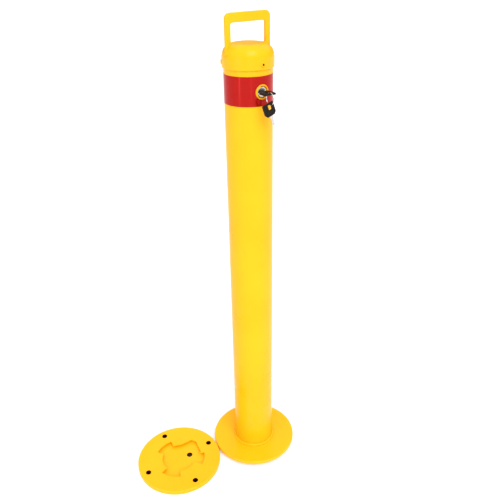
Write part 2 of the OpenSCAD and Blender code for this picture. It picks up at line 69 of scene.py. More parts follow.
class Body(Enum):
    """Rigid bodies that a piece can ride on."""

    BOLLARD = "bollard"
    ROD = "lock_rod"
    PLUG = "lock_plug"
    RING = "key_ring"
    SPARE = "spare_key"


class Slot(Enum):
    """Material slot names that each rounded piece carries."""

    YELLOW = "yellow_paint"
    STEEL = "bright_steel"
    BLACK = "black_plastic"
    DARK = "dark_steel"


# Shader node groups

def new_group(name: str, inputs: dict, outputs: dict) -> bpy.types.NodeTree:
    """Makes an empty shader node group with named sockets.

    Args:
        name: Name of the group.
        inputs: Socket name to its kind and default value.
        outputs: Socket name to its kind.

    Returns:
        The group, with its input and output nodes in place.
    """
    tree = bpy.data.node_groups.new(name, "ShaderNodeTree")
    for label, (kind, default) in inputs.items():
        socket = tree.interface.new_socket(label, in_out="INPUT", socket_type=kind)
        if default is not None:
            socket.default_value = default
    for label, kind in outputs.items():
        tree.interface.new_socket(label, in_out="OUTPUT", socket_type=kind)
    tree.nodes.new("NodeGroupInput").name = "in"
    tree.nodes.new("NodeGroupOutput").name = "out"
    return tree


def add(tree: bpy.types.NodeTree, kind: str, **values: object) -> bpy.types.Node:
    """Adds a node and sets its properties and named inputs.

    Args:
        tree: Node tree that gets the node.
        kind: Node type without the leading ShaderNode.
        values: Properties by name, and inputs by name with spaces as underscores.

    Returns:
        The new node.
    """
    node = tree.nodes.new("ShaderNode" + kind)
    for key, value in values.items():
        if hasattr(node, key):
            setattr(node, key, value)
        else:
            node.inputs[key.replace("_", " ")].default_value = value
    return node


def math_node(
    tree: bpy.types.NodeTree, operation: str, a: Socket | float, b: Socket | float = 0.0
) -> Socket:
    """Adds a Math node fed by sockets or numbers.

    Args:
        tree: Node tree that gets the node.
        operation: Operation of the node.
        a: First socket or number.
        b: Second socket or number.

    Returns:
        The node's output socket.
    """
    node = tree.nodes.new("ShaderNodeMath")
    node.operation = operation
    for i, value in enumerate((a, b)):
        if isinstance(value, (int, float)):
            node.inputs[i].default_value = value
        else:
            tree.links.new(value, node.inputs[i])
    return node.outputs[0]


def object_place(tree: bpy.types.NodeTree) -> Socket:
    """Returns the Object coordinate socket of a new Texture Coordinate node."""
    return tree.nodes.new("ShaderNodeTexCoord").outputs["Object"]


def remap(tree: bpy.types.NodeTree, value: Socket, **settings: object) -> Socket:
    """Maps a value from one range to another.

    Args:
        tree: Node tree that gets the Map Range node.
        value: Socket with the value.
        settings: Properties and inputs of the node, as for add.

    Returns:
        The socket with the mapped value.
    """
    node = add(tree, "MapRange", **settings)
    tree.links.new(value, node.inputs["Value"])
    return node.outputs["Result"]


def blend(
    tree: bpy.types.NodeTree, factor: Socket, first: Socket | Colour, second: Socket | Colour
) -> Socket:
    """Mixes two colours.

    Args:
        tree: Node tree that gets the Mix node.
        factor: Socket with the share of the second colour.
        first: First colour or its socket.
        second: Second colour or its socket.

    Returns:
        The socket with the mixed colour.
    """
    mix = add(tree, "Mix", data_type="RGBA")
    tree.links.new(factor, mix.inputs["Factor"])
    for index, colour in zip(MIX_COLOUR_INPUTS, (first, second)):
        if isinstance(colour, tuple):
            mix.inputs[index].default_value = colour
        else:
            tree.links.new(colour, mix.inputs[index])
    return mix.outputs[MIX_COLOUR_OUTPUT]


def within(tree: bpy.types.NodeTree, place: Socket, centre: tuple, radius: float) -> Socket:
    """Gives 1 for a place that lies within a distance of a point, and 0 elsewhere.

    Args:
        tree: Node tree that gets the nodes.
        place: Socket with the place.
        centre: The point.
        radius: The distance.

    Returns:
        The socket with the answer.
    """
    gap = tree.nodes.new("ShaderNodeVectorMath")
    gap.operation = "DISTANCE"
    tree.links.new(place, gap.inputs[0])
    gap.inputs[1].default_value = centre
    return math_node(tree, "LESS_THAN", gap.outputs["Value"], radius)


def colour_drift_group() -> bpy.types.NodeTree:
    """Builds the group that lets a colour wander slowly between two tones.

    Returns:
        The group, which gives a colour and a mask.
    """
    tree = new_group(
        "colour drift",
        {"Low": ("NodeSocketColor", None), "High": ("NodeSocketColor", None),
         "Scale": ("NodeSocketFloat", 9.0)},
        {"Color": "NodeSocketColor", "Mask": "NodeSocketFloat"},
    )
    source, sink = tree.nodes["in"], tree.nodes["out"]
    noise = add(tree, "TexNoise", Detail=4.0, Roughness=0.55)
    tree.links.new(object_place(tree), noise.inputs["Vector"])
    tree.links.new(source.outputs["Scale"], noise.inputs["Scale"])
    mask = remap(
        tree, noise.outputs["Fac"], interpolation_type="SMOOTHSTEP", From_Min=0.35, From_Max=0.65)
    colour = blend(tree, mask, source.outputs["Low"], source.outputs["High"])
    tree.links.new(colour, sink.inputs["Color"])
    tree.links.new(mask, sink.inputs["Mask"])
    return tree


def fine_bump_group() -> bpy.types.NodeTree:
    """Builds the group for a fine even relief, such as the skin of powder coat.

    Returns:
        The group, which gives a normal and a height.
    """
    tree = new_group(
        "fine bump",
        {"Scale": ("NodeSocketFloat", 900.0), "Strength": ("NodeSocketFloat", 0.1),
         "Depth": ("NodeSocketFloat", 0.0001)},
        {"Normal": "NodeSocketVector", "Height": "NodeSocketFloat"},
    )
    source, sink = tree.nodes["in"], tree.nodes["out"]
    noise = add(tree, "TexNoise", Detail=2.0, Roughness=0.5)
    tree.links.new(object_place(tree), noise.inputs["Vector"])
    tree.links.new(source.outputs["Scale"], noise.inputs["Scale"])
    bump = add(tree, "Bump")
    tree.links.new(noise.outputs["Fac"], bump.inputs["Height"])
    tree.links.new(source.outputs["Strength"], bump.inputs["Strength"])
    tree.links.new(source.outputs["Depth"], bump.inputs["Distance"])
    tree.links.new(bump.outputs["Normal"], sink.inputs["Normal"])
    tree.links.new(noise.outputs["Fac"], sink.inputs["Height"])
    return tree


def specks_group() -> bpy.types.NodeTree:
    """Builds the group that scatters small worn specks, denser near the floor.

    Returns:
        The group, which gives a mask.
    """
    tree = new_group(
        "worn specks",
        {"Scale": ("NodeSocketFloat", 120.0), "Amount": ("NodeSocketFloat", 0.08),
         "Low Height": ("NodeSocketFloat", 0.05)},
        {"Mask": "NodeSocketFloat"},
    )
    source, sink = tree.nodes["in"], tree.nodes["out"]
    place = object_place(tree)
    cells = add(tree, "TexVoronoi", feature="F1")
    tree.links.new(place, cells.inputs["Vector"])
    tree.links.new(source.outputs["Scale"], cells.inputs["Scale"])
    patch = add(tree, "TexNoise", Scale=14.0, Detail=3.0)
    tree.links.new(place, patch.inputs["Vector"])
    split = tree.nodes.new("ShaderNodeSeparateXYZ")
    tree.links.new(place, split.inputs[0])
    low = math_node(tree, "DIVIDE", split.outputs["Z"], source.outputs["Low Height"])
    low = math_node(tree, "SUBTRACT", 1.0, math_node(tree, "MINIMUM", low, 1.0))
    share = math_node(tree, "ADD", SPECK_SHARE_HIGH_UP, low)
    reach = math_node(tree, "MULTIPLY", source.outputs["Amount"], share)
    gate = math_node(tree, "GREATER_THAN", patch.outputs["Fac"], SPECK_PATCH_LEVEL)
    speck = math_node(tree, "LESS_THAN", cells.outputs["Distance"], reach)
    tree.links.new(math_node(tree, "MULTIPLY", speck, gate), sink.inputs["Mask"])
    return tree


def grain_group() -> bpy.types.NodeTree:
    """Builds the group for turned or drawn metal: fine lines stretched along one axis.

    Returns:
        The group, which gives a roughness and a normal.
    """
    tree = new_group(
        "metal grain",
        {"Stretch": ("NodeSocketVector", (1.0, 1.0, 0.05)), "Scale": ("NodeSocketFloat", 2500.0),
         "Depth": ("NodeSocketFloat", 0.00002), "Low": ("NodeSocketFloat", 0.25),
         "High": ("NodeSocketFloat", 0.45)},
        {"Roughness": "NodeSocketFloat", "Normal": "NodeSocketVector"},
    )
    source, sink = tree.nodes["in"], tree.nodes["out"]
    stretch = tree.nodes.new("ShaderNodeVectorMath")
    stretch.operation = "MULTIPLY"
    tree.links.new(object_place(tree), stretch.inputs[0])
    tree.links.new(source.outputs["Stretch"], stretch.inputs[1])
    noise = add(tree, "TexNoise", Detail=3.0)
    tree.links.new(stretch.outputs[0], noise.inputs["Vector"])
    tree.links.new(source.outputs["Scale"], noise.inputs["Scale"])
    rough = add(tree, "MapRange")
    tree.links.new(noise.outputs["Fac"], rough.inputs["Value"])
    tree.links.new(source.outputs["Low"], rough.inputs["To Min"])
    tree.links.new(source.outputs["High"], rough.inputs["To Max"])
    bump = add(tree, "Bump", Strength=0.4)
    tree.links.new(noise.outputs["Fac"], bump.inputs["Height"])
    tree.links.new(source.outputs["Depth"], bump.inputs["Distance"])
    tree.links.new(rough.outputs["Result"], sink.inputs["Roughness"])
    tree.links.new(bump.outputs["Normal"], sink.inputs["Normal"])
    return tree


class Effects:
    """Shared node groups, each built once."""

    def __init__(self) -> None:
        """Builds the groups."""
        self.drift = colour_drift_group()
        self.bump = fine_bump_group()
        self.specks = specks_group()
        self.grain = grain_group()

    @staticmethod
    def place(
        tree: bpy.types.NodeTree, group: bpy.types.NodeTree, **values: object
    ) -> bpy.types.Node:
        """Puts a group in a material.

        Args:
            tree: Node tree of the material.
            group: Group that is placed.
            values: Input values by name, with spaces as underscores.

        Returns:
            The group node.
        """
        node = tree.nodes.new("ShaderNodeGroup")
        node.node_tree = group
        for key, value in values.items():
            node.inputs[key.replace("_", " ")].default_value = value
        return node


def new_material(name: str) -> tuple[bpy.types.Material, bpy.types.NodeTree, bpy.types.Node]:
    """Makes a material with a bare Principled shader.

    Args:
        name: Name of the material.

    Returns:
        The material, its node tree and the shader node.
    """
    material = bpy.data.materials.new(name)
    material.use_nodes = True
    tree = material.node_tree
    return material, tree, tree.nodes["Principled BSDF"]


@dataclass(frozen=True)
class PowderCoat:
    """Glossy powder coat with a fine orange peel skin, slow drift, a few worn specks and, where bores
    are given, painted shade in them.
    """

    name: str
    low: Colour
    high: Colour
    drift_scale: float = 7.0
    smoothest: float = 0.26
    roughest: float = 0.36
    specular: float = 0.12
    coat: float = 0.05
    coat_roughness: float = 0.12
    peel: float = 0.12
    peel_scale: float = 700.0
    peel_depth: float = 0.25 * MM
    specks: float = 0.05
    speck_scale: float = 150.0
    bare: Colour = (0.30, 0.24, 0.16, 1.0)
    # Bores that get near-black painted shade in place of the shade deep in the holes.
    bores: tuple = ()
    bore_shade_colour: Colour = (0.020, 0.007, 0.003, 1.0)

    def paint_bore_shade(self, tree: bpy.types.NodeTree, colour: Socket) -> Socket:
        """Paints near-black shade into the bores, standing in for the shade deep in the holes.

        Args:
            tree: Node tree of the material.
            colour: Socket with the colour of the paint.

        Returns:
            The socket with the mixed colour.
        """
        split = tree.nodes.new("ShaderNodeSeparateXYZ")
        tree.links.new(object_place(tree), split.inputs[0])
        flat = tree.nodes.new("ShaderNodeCombineXYZ")
        for axis in "XY":
            tree.links.new(split.outputs[axis], flat.inputs[axis])
        inside = 0.0
        for x, y, radius in self.bores:
            hit = within(tree, flat.outputs[0], (x, y, 0), radius)
            inside = math_node(tree, "MAXIMUM", inside, hit)
        return blend(tree, inside, colour, self.bore_shade_colour)

    def build(self, effects: Effects) -> bpy.types.Material:
        """Builds the material from the shared groups.

        Args:
            effects: Shared node groups.

        Returns:
            The material.
        """
        material, tree, shader = new_material(self.name)
        drift = effects.place(
            tree, effects.drift, Low=self.low, High=self.high, Scale=self.drift_scale)
        specks = effects.place(tree, effects.specks, Scale=self.speck_scale, Amount=self.specks)
        colour = blend(tree, specks.outputs["Mask"], drift.outputs["Color"], self.bare)
        # Painted shade in the bores.
        if self.bores:
            colour = self.paint_bore_shade(tree, colour)
        tree.links.new(colour, shader.inputs["Base Color"])
        rough = remap(tree, drift.outputs["Mask"], To_Min=self.smoothest, To_Max=self.roughest)
        tree.links.new(rough, shader.inputs["Roughness"])
        bump = effects.place(
            tree, effects.bump, Scale=self.peel_scale, Strength=self.peel, Depth=self.peel_depth)
        tree.links.new(bump.outputs["Normal"], shader.inputs["Normal"])
        shader.inputs["Specular IOR Level"].default_value = self.specular
        shader.inputs["Coat Weight"].default_value = self.coat
        shader.inputs["Coat Roughness"].default_value = self.coat_roughness
        return material


@dataclass(frozen=True)
class ReflectiveFilm:
    """Glossy red film whose face holds a net of small prism cells."""

    name: str = "reflective film"
    colour: Colour = (0.36, 0.006, 0.004, 1.0)
    cell: Colour = (0.46, 0.009, 0.006, 1.0)
    cell_size: float = 3.2 * MM
    cell_relief: float = 0.25
    cell_depth: float = 0.12 * MM
    smoothest: Colour = (0.16,) * 4
    roughest: Colour = (0.24,) * 4
    drift_scale: float = 30.0
    metallic: float = 0.26
    specular: float = 0.06
    coat: float = 0.12
    coat_roughness: float = 0.06

    def cells(self, tree: bpy.types.NodeTree) -> Socket:
        """Lays the net of cells out round the tube.

        Args:
            tree: Node tree of the material.

        Returns:
            The socket with the height of the cells.
        """
        split = tree.nodes.new("ShaderNodeSeparateXYZ")
        tree.links.new(object_place(tree), split.inputs[0])
        turn = math_node(tree, "ARCTAN2", split.outputs["Y"], split.outputs["X"])
        low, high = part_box("reflective_band")
        across = math_node(tree, "MULTIPLY", turn, (high.x - low.x) / self.cell_size)
        along = math_node(tree, "MULTIPLY", split.outputs["Z"], 2 / self.cell_size)
        waves = []
        for kind in ("ADD", "SUBTRACT"):
            wave = math_node(tree, "SINE", math_node(tree, kind, across, along))
            waves.append(math_node(tree, "ABSOLUTE", wave))
        return math_node(tree, "MULTIPLY", *waves)

    def build(self, effects: Effects) -> bpy.types.Material:
        """Builds the material: the net of cells under a clear coat.

        Args:
            effects: Shared node groups.

        Returns:
            The material.
        """
        material, tree, shader = new_material(self.name)
        net = self.cells(tree)
        tree.links.new(blend(tree, net, self.colour, self.cell), shader.inputs["Base Color"])
        bump = add(tree, "Bump", Strength=self.cell_relief, Distance=self.cell_depth)
        tree.links.new(net, bump.inputs["Height"])
        tree.links.new(bump.outputs["Normal"], shader.inputs["Normal"])
        drift = effects.place(
            tree, effects.drift, Low=self.smoothest, High=self.roughest, Scale=self.drift_scale)
        tree.links.new(drift.outputs["Color"], shader.inputs["Roughness"])
        shader.inputs["Metallic"].default_value = self.metallic
        shader.inputs["Specular IOR Level"].default_value = self.specular
        shader.inputs["Coat Weight"].default_value = self.coat
        shader.inputs["Coat Roughness"].default_value = self.coat_roughness
        return material


@dataclass(frozen=True)
class Metal:
    """Bare or plated metal with a drawn or turned grain."""

    name: str
    low: Colour
    high: Colour
    smooth: float = 0.22
    rough: float = 0.42
    stretch: tuple = (1.0, 1.0, 0.05)
    drift_scale: float = 120.0

    def build(self, effects: Effects) -> bpy.types.Material:
        """Builds the material from the shared groups.

        Args:
            effects: Shared node groups.

        Returns:
            The material.
        """
        material, tree, shader = new_material(self.name)
        shader.inputs["Metallic"].default_value = 1.0
        drift = effects.place(
            tree, effects.drift, Low=self.low, High=self.high, Scale=self.drift_scale)
        tree.links.new(drift.outputs["Color"], shader.inputs["Base Color"])
        grain = effects.place(
            tree, effects.grain, Stretch=self.stretch, Low=self.smooth, High=self.rough)
        tree.links.new(grain.outputs["Roughness"], shader.inputs["Roughness"])
        tree.links.new(grain.outputs["Normal"], shader.inputs["Normal"])
        return material


@dataclass(frozen=True)
class MouldedPlastic:
    """Black moulded plastic with a fine spark-eroded grain."""

    name: str = "moulded black"
    low: Colour = (0.006, 0.004, 0.003, 1.0)
    high: Colour = (0.011, 0.008, 0.006, 1.0)
    drift_scale: float = 200.0
    smoothest: float = 0.38
    roughest: float = 0.5
    specular: float = 0.15
    grain: float = 0.3
    grain_scale: float = 4000.0
    grain_depth: float = 0.05 * MM

    def build(self, effects: Effects) -> bpy.types.Material:
        """Builds the material from the shared groups.

        Args:
            effects: Shared node groups.

        Returns:
            The material.
        """
        material, tree, shader = new_material(self.name)
        drift = effects.place(
            tree, effects.drift, Low=self.low, High=self.high, Scale=self.drift_scale)
        tree.links.new(drift.outputs["Color"], shader.inputs["Base Color"])
        bump = effects.place(
            tree, effects.bump, Scale=self.grain_scale, Strength=self.grain, Depth=self.grain_depth)
        tree.links.new(bump.outputs["Normal"], shader.inputs["Normal"])
        rough = remap(tree, bump.outputs["Height"], To_Min=self.smoothest, To_Max=self.roughest)
        tree.links.new(rough, shader.inputs["Roughness"])
        shader.inputs["Specular IOR Level"].default_value = self.specular
        return material


@dataclass(frozen=True)
class PlateBores:
    """Fixing holes and pin hole of the ground plate where painted shade goes, each a little wider
    than its bore.
    """

    anchor_reach: float = 82.5 * MM
    anchor_radius: float = 6.4 * MM
    anchor_count: int = 4
    pin_reach: float = 28.0 * MM
    pin_radius: float = 6.9 * MM

    def places(self) -> tuple:
        """Finds the bores of the plate.

        Returns:
            The x, y and radius of each bore.
        """
        low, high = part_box("ground_plate")
        middle = (low + high) / 2
        bores = [(middle.x + self.pin_reach, middle.y, self.pin_radius)]
        for i in range(self.anchor_count):
            turn = math.tau * i / self.anchor_count
            bores.append((
                middle.x + self.anchor_reach * math.cos(turn),
                middle.y + self.anchor_reach * math.sin(turn),
                self.anchor_radius,
            ))
        return tuple(bores)


class Finishes:
    """All finishes of the bollard, built once and given to pieces and CAD nodes."""

    def __init__(self) -> None:
        """Builds each material from its finish."""
        effects = Effects()
        tones = {"low": (0.94, 0.425, 0.004, 1.0), "high": (0.95, 0.455, 0.007, 1.0)}
        # The plate's paint gets painted shade in its fixing holes and pin hole.
        plate = PowderCoat("yellow powder coat, painted bore shade", **tones, bores=PlateBores().places())
        zinc = Metal("zinc plated steel", (0.62, 0.63, 0.64, 1.0), (0.74, 0.75, 0.76, 1.0))
        nickel = Metal(
            "nickel plated brass", (0.52, 0.50, 0.47, 1.0), (0.66, 0.64, 0.61, 1.0),
            smooth=0.14, rough=0.3, stretch=(1.0, 0.2, 1.0))
        dark = Metal(
            "oiled steel", (0.20, 0.20, 0.21, 1.0), (0.30, 0.30, 0.31, 1.0), smooth=0.35, rough=0.6)
        bronze = Metal(
            "bearing bronze", (0.42, 0.25, 0.10, 1.0), (0.55, 0.34, 0.15, 1.0), smooth=0.3, rough=0.5)
        # Near-black painted shade for the cups in the cap screws' sockets.
        socket = Metal(
            "painted socket shade", (0.012, 0.010, 0.009, 1.0), (0.030, 0.026, 0.022, 1.0),
            smooth=0.4, rough=0.6)
        self.yellow = PowderCoat("yellow powder coat", **tones).build(effects)
        self.plate = plate.build(effects)
        self.red = ReflectiveFilm().build(effects)
        self.zinc = zinc.build(effects)
        self.nickel = nickel.build(effects)
        self.dark = dark.build(effects)
        self.bronze = bronze.build(effects)
        self.black = MouldedPlastic().build(effects)
        # Painted socket shade.
        self.socket = socket.build(effects)


def dress(thing: bpy.types.Object, material: bpy.types.Material) -> None:
    """Gives an object one material throughout.

    Args:
        thing: The object.
        material: Its material.
    """
    if thing.data.materials:
        for i in range(len(thing.data.materials)):
            thing.data.materials[i] = material
    else:
        thing.data.materials.append(material)


def to_object(bm: bmesh.types.BMesh, name: str, sharp_deg: float = 35.0) -> bpy.types.Object:
    """Turns a bmesh into a linked, smoothly shaded object at the origin.

    Args:
        bm: Mesh that is used up.
        name: Name of the object.
        sharp_deg: Edges that turn by more than this stay sharp.

    Returns:
        The object.
    """
    mesh = bpy.data.meshes.new(name)
    bm.to_mesh(mesh)
    bm.free()
    mesh.shade_smooth()
    mesh.set_sharp_from_angle(angle=math.radians(sharp_deg))
    thing = bpy.data.objects.new(name, mesh)
    bpy.context.scene.collection.objects.link(thing)
    return thing


def merged_copy(node: str, flat_deg: float) -> bmesh.types.BMesh:
    """Copies a CAD node's mesh, merges its doubles and dissolves its flat edges.

    Args:
        node: Name of the node.
        flat_deg: Edges that turn by less than this are dissolved.

    Returns:
        The copy.
    """
    bm = bmesh.new()
    bm.from_mesh(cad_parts[node].data)
    bmesh.ops.remove_doubles(bm, verts=bm.verts, dist=MERGE_DISTANCE)
    bmesh.ops.dissolve_limit(
        bm, angle_limit=math.radians(flat_deg), verts=bm.verts, edges=bm.edges)
    return bm


def tidy_normals(bm: bmesh.types.BMesh) -> None:
    """Merges doubles and turns the faces outwards."""
    bmesh.ops.remove_doubles(bm, verts=bm.verts, dist=MERGE_DISTANCE)
    bmesh.ops.recalc_face_normals(bm, faces=bm.faces)


def bevel_sharp(
    bm: bmesh.types.BMesh, width: float, segments: int, angle_deg: float = 40.0
) -> None:
    """Rounds the sharp edges of a mesh.

    Args:
        bm: Mesh that is rounded.
        width: Width of the rounding.
        segments: Segments across it.
        angle_deg: Edges that turn by more than this are rounded.
    """
    limit = math.radians(angle_deg)
    edges = [e for e in bm.edges if len(e.link_faces) == 2 and e.calc_face_angle() > limit]
    bmesh.ops.bevel(
        bm, geom=edges, offset=width, offset_type="OFFSET", affect="EDGES",
        segments=segments, profile=0.5, material=-1, clamp_overlap=True)


def even_shading(thing: bpy.types.Object) -> None:
    """Keeps broad flat faces evenly shaded beside their rounded edges.

    Args:
        thing: Object with such faces.
    """
    normals = thing.modifiers.new("even shading", "WEIGHTED_NORMAL")
    normals.weight = 100
    normals.keep_sharp = True


def sweep(
    points: list[Vector], radii: list[float], axis: Vector = UP, closed: bool = True
) -> bmesh.types.BMesh:
    """Sweeps a round section of changing radius along a path, which no operator does.

    Args:
        points: Middle of each section.
        radii: Radius of each section.
        axis: Direction that no stretch of the path runs along.
        closed: Whether the last section joins the first.

    Returns:
        The swept mesh.
    """
    bm = bmesh.new()
    count = len(points)
    turns = [math.tau * j / BEAD_SIDES for j in range(BEAD_SIDES)]
    rings = []
    for i, point in enumerate(points):
        before = points[i - 1] if closed or i else point
        after = points[(i + 1) % count] if closed or i < count - 1 else point
        along = (after - before).normalized()
        side = along.cross(axis).normalized()
        up = side.cross(along)
        spokes = [math.cos(a) * side + math.sin(a) * up for a in turns]
        rings.append([bm.verts.new(point + radii[i] * spoke) for spoke in spokes])
    for i in range(count if closed else count - 1):
        near, far = rings[i], rings[(i + 1) % count]
        for j in range(BEAD_SIDES):
            k = (j + 1) % BEAD_SIDES
            bm.faces.new((near[j], near[k], far[k], far[j]))
    if not closed:
        bm.faces.new(rings[0])
        bm.faces.new(rings[-1])
    tidy_normals(bm)
    return bm


def rippled(radius: float, count: int, waves: int, share: float) -> list[float]:
    """Works out the radii of a weld bead that swells and narrows along its way.

    Args:
        radius: Mean radius.
        count: Number of sections.
        waves: Number of swells.
        share: Share of the radius by which the bead swells.

    Returns:
        The radius of each section.
    """
    return [radius * (1 + share * math.cos(math.tau * waves * i / count)) for i in range(count)]


def evenly_spaced(points: list[Vector], count: int) -> list[Vector]:
    """Spaces points evenly along a closed path.

    Args:
        points: Corners of the path.
        count: Number of points that are wanted.

    Returns:
        The points, the first one at the first corner.
    """
    ends = points[1:] + points[:1]
    lengths = [(b - a).length for a, b in zip(points, ends)]
    step = sum(lengths) / count
    path, walked, i = [], 0.0, 0
    for k in range(count):
        while walked + lengths[i] < k * step:
            walked += lengths[i]
            i += 1
        path.append(points[i].lerp(ends[i], (k * step - walked) / lengths[i]))
    return path


def finish_piece(
    thing: bpy.types.Object, body: Body, material: bpy.types.Material
) -> None:
    """Dresses a new piece, puts it on its body and writes it to the log.

    Args:
        thing: The piece.
        body: Body that it rides on.
        material: Finish.
    """
    dress(thing, material)
    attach(thing, body.value)
    log.info("%s on %s, %d faces", thing.name, body.value, len(thing.data.polygons))


@dataclass(frozen=True)
class RoundedCopy:
    """A CAD piece whose sharp edges get the small rounding of the real one."""

    node: str
    body: Body
    slot: Slot
    width: float = 0.5 * MM
    segments: int = 2
    flat_deg: float = 0.5
    sharp_deg: float = 32.0

    def build(self, material: bpy.types.Material) -> None:
        """Copies the CAD node, merges it and rounds its edges.

        Args:
            material: Finish of the piece.
        """
        bm = merged_copy(self.node, self.flat_deg)
        bevel_sharp(bm, self.width, self.segments)
        thing = to_object(bm, self.node + "_rounded", self.sharp_deg)
        even_shading(thing)
        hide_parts(self.node)
        finish_piece(thing, self.body, material)


@dataclass(frozen=True)
class Studio:
    """Floor, light and the camera that sees the bollard as the photograph does."""

    azimuth_deg: float = -33.0
    aim_deg: float = 0.055
    distance: float = 1.0806
    height: float = 1.1237
    pitch_deg: float = 28.19
    roll_deg: float = -0.92
    focal_share: float = 570.77 / 502
    sensor: float = 36.0
    clip_start: float = 0.01
    key_strength: float = 1.9
    key_spread_deg: float = 40.0
    key_bearing_deg: float = 20.0
    key_rise_deg: float = 46.0
    key_reach: float = 3.0
    aim_height: float = 0.5
    strips: tuple = ((-41.0, 5.5), (13.0, 2.0))
    strip_size: tuple = (0.22, 1.8)
    strip_reach: float = 2.6
    strip_height: float = 1.1
    sky_base: float = 0.62
    sky_rise: float = 0.72
    wall_colour: Colour = (0.14, 0.13, 0.16, 1.0)
    wall_bearing_deg: float = 4.0
    wall_side_fade: tuple = (-0.45, 0.4)
    wall_top_fade: tuple = (0.5, 0.12)
    floor_reach: float = 60.0
    floor_colour: Colour = (0.95, 0.95, 0.95, 1.0)
    floor_roughness: float = 0.9
    floor_specular: float = 0.1
    # Near-black painted shade on the floor under the plate, seen through its holes.
    floor_shade_colour: Colour = (0.03, 0.02, 0.01, 1.0)
    floor_shade_margin: float = 6.0 * MM

    def camera(self) -> None:
        """Places the camera from its bearing, height, pitch and roll."""
        turn = math.radians(self.azimuth_deg)
        pitch, roll = math.radians(self.pitch_deg), math.radians(self.roll_deg)
        aim = turn + math.radians(self.aim_deg)
        forward = Vector((-math.sin(aim), math.cos(aim), 0)) * math.cos(pitch)
        forward.z = -math.sin(pitch)
        right = Vector((math.cos(aim), math.sin(aim), 0))
        up = right.cross(forward)
        tilted_right = math.cos(roll) * right + math.sin(roll) * up
        tilted_up = math.cos(roll) * up - math.sin(roll) * right
        data = bpy.data.cameras.new("photo camera")
        data.sensor_width = self.sensor
        data.lens = self.focal_share * self.sensor
        data.clip_start = self.clip_start
        camera = bpy.data.objects.new("photo camera", data)
        turned = Matrix((tilted_right, tilted_up, -forward)).transposed().to_4x4()
        place = Vector((math.sin(turn) * self.distance, -math.cos(turn) * self.distance, self.height))
        camera.matrix_world = Matrix.Translation(place) @ turned
        bpy.context.scene.collection.objects.link(camera)
        bpy.context.scene.camera = camera

    def bearing(self, degrees: float, reach: float, height: float) -> Vector:
        """Returns a point at a bearing from the camera's side, seen from above."""
        turn = math.radians(self.azimuth_deg + degrees)
        return Vector((math.sin(turn) * reach, -math.cos(turn) * reach, height))

    @staticmethod
    def lamp(data: bpy.types.Light, place: Vector, target: Vector) -> None:
        """Hangs a light so that it faces a target.

        Args:
            data: The light.
            place: Where it hangs.
            target: The point it faces.
        """
        thing = bpy.data.objects.new(data.name, data)
        thing.location = place
        thing.rotation_euler = (target - place).to_track_quat("-Z", "Y").to_euler()
        bpy.context.scene.collection.objects.link(thing)

    def lights(self) -> None:
        """Sets a broad key light at the right and narrow strips that draw soft streaks."""
        middle = Vector((0, 0, self.aim_height))
        key = bpy.data.lights.new("key light", "SUN")
        key.energy = self.key_strength
        key.angle = math.radians(self.key_spread_deg)
        rise = math.tan(math.radians(self.key_rise_deg))
        away = self.bearing(self.key_bearing_deg, self.key_reach, self.key_reach * rise)
        self.lamp(key, middle + away, middle)
        for bearing, power in self.strips:
            strip = bpy.data.lights.new("strip light", "AREA")
            strip.shape = "RECTANGLE"
            strip.size, strip.size_y = self.strip_size
            strip.energy = power
            self.lamp(strip, self.bearing(bearing, self.strip_reach, self.strip_height), middle)

    def world(self) -> None:
        """Lights the scene like a room with a dim wall behind, and shows white to the camera."""
        world = bpy.data.worlds.new("studio")
        world.use_nodes = True
        bpy.context.scene.world = world
        tree = world.node_tree
        place = tree.nodes.new("ShaderNodeTexCoord").outputs["Generated"]
        split = tree.nodes.new("ShaderNodeSeparateXYZ")
        tree.links.new(place, split.inputs[0])
        turn = math.radians(self.azimuth_deg + self.wall_bearing_deg)
        ahead = tree.nodes.new("ShaderNodeVectorMath")
        ahead.operation = "DOT_PRODUCT"
        tree.links.new(place, ahead.inputs[0])
        ahead.inputs[1].default_value = (-math.sin(turn), math.cos(turn), 0)
        back = remap(
            tree, ahead.outputs["Value"], interpolation_type="SMOOTHSTEP",
            From_Min=self.wall_side_fade[0], From_Max=self.wall_side_fade[1])
        low = remap(
            tree, split.outputs["Z"], interpolation_type="SMOOTHSTEP",
            From_Min=self.wall_top_fade[0], From_Max=self.wall_top_fade[1])
        wall = math_node(tree, "MULTIPLY", back, low)
        light = tree.nodes["Background"]
        tree.links.new(blend(tree, wall, WHITE, self.wall_colour), light.inputs["Color"])
        above = math_node(tree, "MAXIMUM", split.outputs["Z"], 0.0)
        level = math_node(tree, "MULTIPLY", above, self.sky_rise)
        tree.links.new(math_node(tree, "ADD", level, self.sky_base), light.inputs["Strength"])
        white = tree.nodes.new("ShaderNodeBackground")
        white.inputs["Color"].default_value = WHITE
        path = tree.nodes.new("ShaderNodeLightPath")
        mix = tree.nodes.new("ShaderNodeMixShader")
        tree.links.new(path.outputs["Is Camera Ray"], mix.inputs["Fac"])
        tree.links.new(light.outputs[0], mix.inputs[1])
        tree.links.new(white.outputs[0], mix.inputs[2])
        tree.links.new(mix.outputs[0], tree.nodes["World Output"].inputs["Surface"])

    def floor(self) -> None:
        """Lays a plain pale floor past the picture's upper edge, with near-black painted shade where
        the plate covers it.
        """
        bm = bmesh.new()
        bmesh.ops.create_grid(bm, x_segments=1, y_segments=1, size=self.floor_reach)
        floor = to_object(bm, "floor")
        material, tree, shader = new_material("pale floor")
        low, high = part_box("ground_plate")
        centre = ((low.x + high.x) / 2, (low.y + high.y) / 2, 0)
        reach = (high.x - low.x) / 2 - self.floor_shade_margin
